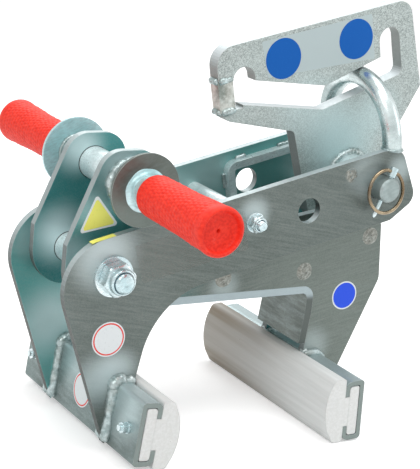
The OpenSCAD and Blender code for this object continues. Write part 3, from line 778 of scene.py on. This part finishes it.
def lathe(name, profile, axis_at, body, finish, around=96, radius_cap=None, smooth=True,
          dent=None):
    """Turns (y, radius) pairs in mm round the Y line through axis_at."""
    points = []
    for y, radius in profile:
        for j in range(around):
            angle = 2 * math.pi * j / around
            r = radius
            if radius_cap is not None:
                r = min(r, radius_cap(angle))
            if dent is not None:
                r += dent(y, angle, radius)
            points.append((axis_at.x + r * MM * math.cos(angle), y * MM,
                           axis_at.z + r * MM * math.sin(angle)))
    faces = ring_faces(len(profile), around)
    faces += end_caps(len(profile), around)
    return piece(name, points, faces, body, finish, smooth)


print("mesh makers ready")

# %% [markdown]
# ## Weld beads
# The plates are welded to the rails, the tubes and the web by hand, so the beads are lumpy and
# rippled where the welder paused. A bead could be a bent cylinder with bump, but its outline
# would stay smooth. Here it is a tube of rings run along a path, and every point of a ring is
# pushed in or out by the ripples and by slow noise.

# %% Paths for beads
def resampled(path, step, closed=False):
    """Points every step metres along straight runs between the points of a path."""
    stops = path + [path[0]] if closed else path
    points = [] if closed else [path[0]]
    for a, b in zip(stops, stops[1:]):
        parts = max(1, round((b - a).length / step))
        points += [a.lerp(b, i / parts) for i in range(1, parts + 1)]
    return points


def eased(points, rounds=8):
    """Rounds the corners of an open path."""
    for _ in range(rounds):
        inner = [(points[i - 1] + points[i] * 2 + points[i + 1]) / 4
                 for i in range(1, len(points) - 1)]
        points = [points[0]] + inner + [points[-1]]
    return points


def thin_axis(points):
    """The axis along which a path reaches least, used to keep its rings from twisting."""
    reach = [max(p[i] for p in points) - min(p[i] for p in points) for i in range(3)]
    axis = Vector((0, 0, 0))
    axis[reach.index(min(reach))] = 1
    return axis


def round_path(centre, radius, plane="XZ", steps=72):
    """A circle of radius mm about a point, upright (XZ) or level (XY)."""
    points = []
    for i in range(steps):
        angle = 2 * math.pi * i / steps
        across = radius * MM * math.cos(angle)
        other = radius * MM * math.sin(angle)
        shift = (across, 0, other) if plane == "XZ" else (across, other, 0)
        points.append(centre + Vector(shift))
    return points


print("path helpers ready")

# %% Bead maker
BEAD_STEP = 0.0008
RIPPLE = 3.4
BEAD_AROUND = 16


def bead(name, path, width, body, closed=False, lump=0.16, ripple=0.13):
    """A welded bead along a path in metres; its width is in mm."""
    points = resampled(path, BEAD_STEP, closed)
    if not closed:
        points = eased(points)
    count = len(points)
    side = thin_axis(points)
    length = BEAD_STEP * count / MM
    rings = []
    for i, point in enumerate(points):
        before = points[i - 1] if closed or i else point
        after = points[(i + 1) % count] if closed or i < count - 1 else point
        ahead = (after - before).normalized()
        side = (side - ahead * side.dot(ahead)).normalized()
        up = ahead.cross(side)
        run = i * BEAD_STEP / MM
        size = 1 + ripple * (abs(math.sin(math.pi * run / RIPPLE)) - 0.6)
        size += lump * 1.3 * noise.noise(point * 75)
        if not closed:
            near = min(1, (run + 0.2) / (width * 0.5), (length - run + 0.2) / (width * 0.5))
            size *= math.sqrt(1 - (1 - near) ** 2)
        for j in range(BEAD_AROUND):
            angle = 2 * math.pi * j / BEAD_AROUND
            out = side * math.cos(angle) + up * math.sin(angle)
            spot = point + out * (width * 0.5 * MM)
            r = width * 0.5 * MM * size * (1 + 0.5 * lump * noise.noise(spot * 260))
            rings.append(point + out * r)
    faces = ring_faces(count, BEAD_AROUND, closed)
    if not closed:
        faces += end_caps(count, BEAD_AROUND)
    return piece(name, rings, faces, body, weld_metal)


print("bead maker ready")

# %% [markdown]
# Each leg stands against its rail's back. The beads run up both sides of the leg, over the
# rail's rounded shoulder and along its top, and the welder left a big bright lump at the corner.

# %% Leg welds
SIDES = (("front", -1), ("rear", 1))
for end, sign in SIDES:
    for face, y in (("outer", OUTER_Y + 1), ("inner", OUTER_Y - PLATE - 1)):
        along = [on_rail("left", out, sign * y, high) for out, high in
                 ((21, 32.6), (5, 33), (0.2, 28), (-0.4, -6), (-0.4, -29))]
        bead(f"left_leg_weld_{end}_{face}", along, 12, "outer_arm", lump=0.22, ripple=0.02)
        corner = [on_rail("left", out, sign * y, high) for out, high in
                  ((13, 33.4), (4, 33.6), (-0.6, 30), (-0.8, 24))]
        bead(f"left_leg_lump_{end}_{face}", corner, 14, "outer_arm", lump=0.26, ripple=0.02)
    for face, y in (("outer", INNER_Y + 1), ("inner", INNER_Y - PLATE - 1)):
        along = [on_rail("right", out, sign * y, high) for out, high in
                 ((22, 32.4), (5, 33), (0.2, 28), (-0.4, -6), (-0.4, -25))]
        bead(f"right_leg_weld_{end}_{face}", along, 9.5, "inner_frame", lump=0.22, ripple=0.02)
    lump_at = [on_rail("right", out, sign * (INNER_Y - 3), 33.5) for out in (23, 19, 15)]
    bead(f"right_leg_lump_{end}", lump_at, 12, "inner_frame", lump=0.3)
web_foot = [on_rail("right", 23, y, 33) for y in (-INNER_Y + 6, 0, INNER_Y - 6)]
bead("web_foot_weld", web_foot, 6.5, "inner_frame", lump=0.22)

# %% [markdown]
# The handle tube passes through both inner plates and carries the two guard discs, so it is
# welded all round at each of them. In front of a disc the weld is a wide smooth fillet, which
# is turned instead of laid as a bead. The bush and the bow have beads round them too.

# %% Round welds
HANDLE_AXIS = centre_of("handle_tube")
GUARD_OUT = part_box("hand_guard_rear")[1].y / MM
GUARD_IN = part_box("hand_guard_rear")[0].y / MM
PIN_AXIS = centre_of("hook_bush")
HOOK_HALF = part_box("hook_plate")[1].y / MM
BOW_FOOT = beam(331, 0, 34.8)


def at_y(point, y):
    return Vector((point.x, y * MM, point.z))


def ripples(y, angle, radius):
    """How much a hand-laid fillet rises and sinks round the tube, in mm."""
    spot = Vector((math.cos(angle), math.sin(angle), y * 0.12)) * 2.4
    return 0.7 * noise.noise(spot)


for end, sign in SIDES:
    tube_at = at_y(HANDLE_AXIS, sign * (INNER_Y + 0.8))
    bead(f"handle_weld_{end}", round_path(tube_at, 18.5), 11, "inner_frame", True, 0.34, 0.06)
    disc_at = at_y(HANDLE_AXIS, sign * (GUARD_IN - 0.4))
    bead(f"guard_weld_{end}", round_path(disc_at, 17), 4.5, "inner_frame", True, 0.24)
    face_at = at_y(HANDLE_AXIS, sign * (GUARD_OUT + 0.2))
    fillet = [(sign * (GUARD_OUT + high), radius) for high, radius in
              ((-0.6, 21.5), (0.2, 21), (0.6, 19.8), (1.4, 18.5), (2.8, 17.4), (4.6, 16.7),
               (5.4, 16.4), (5.6, 15.8), (-0.6, 15.8))]
    # The fillet takes the discs' painted-light zinc.
    lathe(f"guard_fillet_{end}", fillet, HANDLE_AXIS, "inner_frame", disc_painted_light_zinc,
          dent=ripples)
    bush_at = at_y(PIN_AXIS, sign * (HOOK_HALF + 0.6))
    bead(f"bush_weld_{end}", round_path(bush_at, 22.6), 8, "outer_arm", True, 0.3)
    foot_at = at_y(BOW_FOOT, sign * 56)
    bead(f"bow_weld_{end}", round_path(foot_at, 10.2, "XY"), 3.2, "outer_arm", True, 0.24)

# %% [markdown]
# Between the inner plates the handle tube and the pivot tube aren't welded, and shade falls in
# the thin gap all round where they enter the plates. That shade is painted as a thin dark ring
# on each inner face.

# %% Painted shade in the gaps round the tubes
for end, sign in SIDES:
    inner_face = sign * (INNER_Y - PLATE)
    for what, axis, radius in (("handle", HANDLE_AXIS, 16.1), ("pivot", PIVOT, 15.1)):
        gap = bead(f"{what}_gap_shade_{end}", round_path(at_y(axis, inner_face), radius), 0.9,
                   "inner_frame", True, 0.1, 0)
        # The ring is painted shade in the gap.
        gap.data.materials[0] = gap_painted_shade
print("gaps ready")

# %% [markdown]
# The end piece of the hook plate was set in with fat beads over both seams, which stand out of
# its left edge as well. The two straps have short beads on top and beside their upright legs.

# %% Seams of the end piece and the straps
for seam, z in (("lower", 104), ("upper", 136)):
    for end, sign in SIDES:
        along = [beam(x, sign * (HOOK_HALF - 0.4), z) for x in (164.8, 172, 180.4)]
        bead(f"end_seam_{seam}_{end}", along, 7.5, "outer_arm", lump=0.34)
    across = [beam(164.2, y, z) for y in (-HOOK_HALF + 0.8, 0, HOOK_HALF - 0.8)]
    bead(f"end_seam_{seam}_edge", across, 8, "outer_arm", lump=0.34)
    inside = [beam(180.6, y, z + (1.5 if seam == "lower" else -1.5))
              for y in (-HOOK_HALF + 2, 0, HOOK_HALF - 2)]
    bead(f"end_seam_{seam}_inside", inside, 4, "outer_arm", lump=0.3)

STRAP_IN = OUTER_Y - PLATE
for end, sign in SIDES:
    for place, first, last in (("a", 210, 222), ("b", 262, 276)):
        along = [beam(x, sign * (STRAP_IN - 1.4), 28.6) for x in (first, last)]
        bead(f"strap_weld_{end}_{place}", along, 5.4, "outer_arm", lump=0.3)
    upright = [beam(194, sign * (STRAP_IN - 1.4), z) for z in (17, 8, 0)]
    bead(f"strap_leg_weld_{end}", upright, 5.4, "outer_arm", lump=0.34)

# %% [markdown]
# The cross bars and the straps sit in holes of the plates that were filled with weld. A plug
# weld is a low, wavy dome with a swirl in it, so it is a disc of rings whose height is noise.

# %% Plug welds
def plug_weld(name, centre, radius, outward, body, height=1.1):
    """A lumpy dome on a plate's face; outward is -1 in front and 1 behind."""
    rings = 14
    around = 48
    points = []
    for i in range(rings):
        share = 1 - i / rings
        for j in range(around):
            angle = 2 * math.pi * j / around
            wide = 1 + 0.07 * noise.noise(centre * 90 + Vector((math.cos(angle),
                                                                math.sin(angle), 0)))
            r = radius * share * wide
            spot = centre + Vector((r * math.cos(angle), 0, r * math.sin(angle))) * MM
            swirl = math.sin(3 * angle + 9 * share) * 0.16
            rise = height * (1 - share ** 5) * (0.75 + swirl + 0.5 * noise.noise(spot * 330))
            points.append(spot + Vector((0, outward * (rise - 0.05) * MM, 0)))
    faces = ring_faces(rings, around)
    faces.append(tuple((rings - 1) * around + j for j in range(around)))
    return piece(name, points, faces, body, ground_weld)


CROSS_BARS = ((138.3, -20.3), (235.5, -19.9), (314.3, 13.5))
for end, sign in SIDES:
    for number, (x, z) in enumerate(CROSS_BARS):
        plug_weld(f"cross_bar_weld_{end}_{number + 1}", level(x, sign * INNER_Y, z), 9.5, sign,
                  "inner_frame", 1.5)
    plug_weld(f"strap_plug_weld_{end}", beam(274.7, sign * OUTER_Y, 24), 7.6, sign, "outer_arm",
              0.9)
print("plug welds:", len(CROSS_BARS) * 2 + 2)

# %% [markdown]
# ## Nuts and bolts
# A lock nut is a hexagon with both ends chamfered and a thin collar that is rolled in over a
# blue nylon ring. Turning one profile round the axis and cutting each ring's radius down to a
# hexagon gives the chamfer's curved edges by itself, as the lathe does on a real nut.

# %% Hexagon and thread
def hexagon(flats):
    """Distance from the axis to a hexagon's side, its corners in line with the beam."""
    def radius(angle):
        from_flat = (angle - BEAM_TILT) % (math.pi / 3) - math.pi / 6
        return flats / 2 / math.cos(from_flat)
    return radius


def thread(pitch, depth, start, end):
    """A helix cut into the part of a shank between two values of Y."""
    def cut(y, angle, radius):
        if not start <= y <= end:
            return 0
        turn = (y / pitch + angle / (2 * math.pi)) % 1
        ease = min(1, (y - start) / pitch, (end - y) / pitch)
        return -depth * ease * abs(2 * turn - 1)
    return cut


print("hexagon of 30 flats, corner to corner:", round(2 * hexagon(30)(BEAM_TILT), 2), "mm")

# %% [markdown]
# The big bolt is M20 with a head of 30 mm across the flats, and its nut has four parts to see:
# the hexagon, the dome, the nylon and the bolt's own end with a chamfer and a centre dimple. The
# small M10 bolt repeats them at its size, and its end stands out far enough to show its thread.

# %% Lock nuts and bolts
def bolt_set(name, axis, size, flats, seat, nut_high, collar_high, head_high, stand, pitch):
    """Nut in front and head behind; seat is the Y of the washers' outer faces, in mm."""
    wide = flats / math.cos(math.pi / 6) / 2
    low = -seat - nut_high
    tip = low - collar_high - stand
    nut_profile = [(-seat, size / 2 + 0.3), (-seat, flats / 2 - 0.7), (-seat - 0.35, flats / 2),
                   (-seat - 0.6, wide - 0.9), (-seat - 1.6, wide + 0.1), (low + 2, wide + 0.1),
                   (low + 0.9, wide - 1.3), (low, flats * 0.47), (low - 0.05, flats * 0.45),
                   (low - collar_high * 0.5, flats * 0.435)]
    for step in range(1, 7):
        turn = step / 6 * math.pi / 2
        nut_profile.append((low - collar_high * (0.5 + 0.5 * math.sin(turn)),
                            flats * 0.435 - flats * 0.06 * (1 - math.cos(turn))))
    nut_profile += [(low - collar_high + 0.2, size / 2 + 0.6),
                    (low - collar_high + 0.9, size / 2 + 0.4), (low, size / 2 + 0.4)]
    nut = lathe(name + "_lock_nut", nut_profile, axis, "outer_arm", bolt_zinc,
                around=144, radius_cap=hexagon(flats), smooth=False)
    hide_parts(name + "_nut", name + "_nut_collar")
    nylon_from = low - collar_high + 1.1
    lathe(name + "_nylon_ring", [(nylon_from + 1.4, size / 2 + 0.9), (nylon_from, size / 2 + 0.9),
                                 (nylon_from - 0.25, size / 2 + 0.5),
                                 (nylon_from, size / 2 - 0.1), (nylon_from + 1.4, size / 2 - 0.1)],
          axis, "outer_arm", nylon_blue)
    half = size / 2
    profile = [(tip + 0.5, half * 0.12), (tip + 0.45, half * 0.2), (tip + 0.1, half * 0.26),
               (tip, half * 0.3), (tip, half * 0.7), (tip + 0.25, half * 0.8),
               (tip + half * 0.22, half * 0.97), (tip + half * 0.3, half)]
    threaded_to = low + 3
    y = tip + half * 0.3
    while y < threaded_to:
        y += pitch / 7
        profile.append((y, half))
    profile += [(seat, half), (seat, flats * 0.47), (seat + 0.5, flats * 0.475),
                (seat + 0.6, wide + 0.1), (seat + head_high - 1.9, wide + 0.1),
                (seat + head_high - 0.9, wide - 1.2), (seat + head_high, flats * 0.46),
                (seat + head_high, flats * 0.3), (seat + head_high - 0.3, flats * 0.27)]
    bolt = lathe(name + "_bolt_turned", profile, axis, "outer_arm", bolt_zinc,
                 around=144, radius_cap=hexagon(flats),
                 dent=thread(pitch, pitch * 0.55, tip + half * 0.3, threaded_to))
    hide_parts(name + "_bolt")
    return tip


SEAT = OUTER_Y + 3
TIE_SEAT = OUTER_Y + 2
tips = [bolt_set("pivot", PIVOT, size=20, flats=30, seat=SEAT, nut_high=14, collar_high=6,
                 head_high=12.5, stand=4, pitch=2.5),
        bolt_set("tie", beam(157.8, 0, 7.5), size=10, flats=16, seat=TIE_SEAT, nut_high=8,
                 collar_high=2.5, head_high=6.4, stand=4, pitch=1.5)]
print("bolt ends at Y", [round(t, 1) for t in tips], "mm")

# %% [markdown]
# ## Rubber grips
# A grip is a moulded tube, a little thicker towards its end, with a soft rim round a sunk end
# face and a small air hole. Its skin has rows of short raised dashes. They are part of the mesh,
# so the grip's outline is rough too, and the rims are left smooth as on the real one.

# %% Grips
GRIP_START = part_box("grip_rear")[0].y / MM
GRIP_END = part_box("grip_rear")[1].y / MM
GRIP_R = 20.0
GRIP_RIM = 23.0
DASH_ROW = 5.2
DASHES_ROUND = 32


def grip_radius(y):
    """Outside radius at a distance from the grip's inner end."""
    long = GRIP_END - GRIP_START
    stops = ((0, GRIP_R - 2.4), (0.9, GRIP_R - 0.8), (3, GRIP_R), (long * 0.45, GRIP_R + 0.3),
             (long - 16, GRIP_R + 1.8), (long - 6, GRIP_RIM), (long - 3.4, GRIP_RIM))
    for (y0, r0), (y1, r1) in zip(stops, stops[1:]):
        if y <= y1:
            share = (y - y0) / (y1 - y0)
            share = share * share * (3 - 2 * share)
            return r0 + (r1 - r0) * share
    return GRIP_RIM


def dash(y, angle):
    """Height of the raised dashes, in staggered rows round the grip."""
    row = math.floor(y / DASH_ROW)
    across = abs(y / DASH_ROW - row - 0.5) * 2
    turn = angle / (2 * math.pi) * DASHES_ROUND + 0.5 * (row % 2)
    turn += 0.35 * noise.noise(Vector((row * 0.7, 3.0, 0)))
    around = abs(turn - math.floor(turn) - 0.5) * 2
    peak = max(0, 1 - across ** 6 * 1.5) * max(0, 1 - around ** 3 * 1.7)
    worn = 0.75 + 0.5 * noise.noise(Vector((y * 0.16, math.cos(angle) * 2, math.sin(angle) * 2)))
    return 0.7 * peak * worn


def grip(name, sign, replaced):
    long = GRIP_END - GRIP_START
    rows = [0, 0.4, 0.9, 1.6, 2.4, 3.2]
    y = 4.0
    while y < long - 5.2:
        rows.append(y)
        y += 0.62
    around = 176
    points = []
    for y in rows:
        ease = min(1, max(0, (y - 3.5) / 3)) * min(1, max(0, (long - 9 - y) / 4))
        for j in range(around):
            angle = 2 * math.pi * j / around
            r = grip_radius(y) + (dash(y, angle) if ease > 0 else 0) * ease
            points.append((r, angle, y))
    rim = [(-5.2, 0), (-3.4, 0), (-1.9, -0.35), (-0.8, -1.1), (-0.15, -2.2), (0, -3.1),
           (-0.4, -3.7), (-1.6, -4.2), (-3.6, -4.6), (-5.4, -5.2), (-6.3, -6.6), (-6.6, -8.6),
           (-6.5, -12), (-6.4, -19.4), (-6.6, -21.0), (-8.2, -21.5), (-11, -21.7)]
    for back, narrower in rim:
        for j in range(around):
            points.append((GRIP_RIM + narrower, 2 * math.pi * j / around, long + back))
    places = [Vector((HANDLE_AXIS.x + r * MM * math.cos(a), sign * (GRIP_START + y) * MM,
                      HANDLE_AXIS.z + r * MM * math.sin(a))) for r, a, y in points]
    count = len(rows) + len(rim)
    faces = ring_faces(count, around)
    faces += end_caps(count, around)
    made = piece(name, places, faces, "inner_frame", red_rubber)
    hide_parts(replaced)
    return made


for end, sign in SIDES:
    made = grip(f"pebbled_grip_{end}", sign, f"grip_{end}")
    print(made.name, len(made.data.vertices), "points")

# %% [markdown]
# ## Stickers
# Each sticker is a thin sheet that lies on a plate: a flat front and a low edge all round. They
# are left plain, in one colour with a rim, and nothing is printed on them.

# %% Sticker maker
VINYL = 0.2
PRINT = 0.08


def sheet_on_plate(name, corners, face_y, body, finish, thick=VINYL):
    """A thin sheet over a closed outline of points, on a face that looks forward."""
    count = len(corners)
    points = [Vector((p.x, face_y * MM, p.z)) for p in corners]
    points += [Vector((p.x, (face_y - thick) * MM, p.z)) for p in corners]
    faces = [tuple(range(count, 2 * count))]
    for i in range(count):
        j = (i + 1) % count
        faces.append((i, j, count + j, count + i))
    return piece(name, points, faces, body, finish, smooth=False)


def rounded(corners, radius, steps=6):
    """Rounds the corners of a flat outline of points; radius in mm."""
    points = []
    for i, corner in enumerate(corners):
        before = (corners[i - 1] - corner).normalized()
        after = (corners[(i + 1) % len(corners)] - corner).normalized()
        half = before.angle(after) / 2
        middle = corner + (before + after).normalized() * (radius * MM / math.sin(half))
        first = corner + before * (radius * MM / math.tan(half))
        last = corner + after * (radius * MM / math.tan(half))
        for k in range(steps + 1):
            arm = (first - middle).normalized().slerp((last - middle).normalized(), k / steps)
            points.append(middle + arm * radius * MM)
    return points


print("sticker maker ready")

# %% Stickers
def grown(corners, factor):
    middle = sum(corners, Vector((0, 0, 0))) / len(corners)
    return [middle + (p - middle) * factor for p in corners]


triangle = [level(x, 0, z) for x, z in ((-11.5, 71.3), (-25.9, 36.3), (12.3, 42.9))]
sheet_on_plate("triangle_sticker_rim", rounded(grown(triangle, 1.08), 2.4), -INNER_Y,
               "inner_frame", white_vinyl)
sheet_on_plate("triangle_sticker", rounded(grown(triangle, 0.9), 2.0), -INNER_Y - VINYL,
               "inner_frame", yellow_vinyl, PRINT)

leg_disc = level(1.4, 0, -63.1)
RING_PRINT = 0.06
for part, radius, height, finish, thick in (("_rim", 17.5, 0, white_vinyl, VINYL),
                                            ("_ring", 16.2, VINYL, red_vinyl, RING_PRINT),
                                            ("", 14.8, VINYL + RING_PRINT, white_vinyl,
                                             RING_PRINT)):
    sheet_on_plate("leg_disc_sticker" + part, round_path(leg_disc, radius), -OUTER_Y - height,
                   "outer_arm", finish, thick)
frame_disc = level(290.8, 0, -50)
FRAME_DISC_R = 15.5
sheet_on_plate("frame_disc_sticker_rim", round_path(frame_disc, FRAME_DISC_R), -INNER_Y,
               "inner_frame", white_vinyl)
sheet_on_plate("frame_disc_sticker", round_path(frame_disc, FRAME_DISC_R * 0.9),
               -INNER_Y - VINYL, "inner_frame", violet_vinyl, PRINT)
film = [level(x, 0, z) for x, z in ((173, 211), (303, 241), (314, 195), (185, 175))]
FILM = 0.12
HOOK_DISC_R = 20.8
sheet_on_plate("hook_film", rounded(film, 1.5), -HOOK_HALF, "outer_arm", clear_film, FILM)
for number, (x, z) in enumerate(((200.9, 194.6), (287, 214.9))):
    sheet_on_plate(f"hook_disc_sticker_{number + 1}", round_path(level(x, 0, z), HOOK_DISC_R),
                   -HOOK_HALF - FILM, "outer_arm", blue_vinyl, 0.1)
plate_film = [beam(x, 0, z) for x, z in ((25.9, 22.2), (148, 22.2), (148, -18), (29.6, -17.7))]
sheet_on_plate("beam_film", rounded(plate_film, 1.5), -OUTER_Y, "outer_arm", faint_film, 0.1)

# %% [markdown]
# Two more stickers don't lie on a flat front: a short strip bends over the outer arm's rounded
# shoulder, and a disc sits on the left rail's back, which leans.

# %% Strip on the shoulder and disc on the rail
SHOULDER_R = 50.2
SHOULDER_AT = (-9, -12.25)
STRIP_FRONT = -62.4
STRIP_REAR = -55.4
STRIP_THICK = 0.3
strip = []
for degrees in (98, 96, 94, 92, 90):
    angle = math.radians(degrees)
    strip.append((SHOULDER_AT[0] + SHOULDER_R * math.cos(angle),
                  SHOULDER_AT[1] + SHOULDER_R * math.sin(angle)))
strip += [(x, SHOULDER_AT[1] + SHOULDER_R) for x in (-3, 3, 9)]
points = []
for x, z in strip:
    for y, drop in ((STRIP_FRONT, STRIP_THICK), (STRIP_FRONT, 0), (STRIP_REAR, 0),
                    (STRIP_REAR, STRIP_THICK)):
        points.append(beam(x, y, z - drop))
faces = []
for i in range(len(strip) - 1):
    for j in range(4):
        k = (j + 1) % 4
        faces.append((i * 4 + j, i * 4 + k, i * 4 + 4 + k, i * 4 + 4 + j))
faces.append((3, 2, 1, 0))
faces.append(tuple(len(points) - 4 + j for j in range(4)))
piece("shoulder_strip_sticker", points, faces, "outer_arm", yellow_vinyl, False)


def disc_on_rail(name, radius, out, finish):
    middle = on_rail("left", -out, RAIL_DISC_Y, 0)
    base = on_rail("left", 0.02, RAIL_DISC_Y, 0)
    points = []
    for origin in (base, middle):
        for j in range(64):
            angle = 2 * math.pi * j / 64
            shift = on_rail("left", 0, radius * math.cos(angle), radius * math.sin(angle))
            points.append(origin + shift - on_rail("left", 0, 0, 0))
    faces = ring_faces(2, 64)
    faces.append(tuple(64 + j for j in range(64)))
    return piece(name, points, faces, "outer_arm", finish, False)


RAIL_DISC_Y = -3.8
disc_on_rail("rail_disc_sticker_rim", 17.5, 0.2, white_vinyl)
disc_on_rail("rail_disc_sticker_ring", 16.2, 0.27, red_vinyl)
disc_on_rail("rail_disc_sticker", 14.8, 0.34, white_vinyl)
print("strip and rail disc ready")
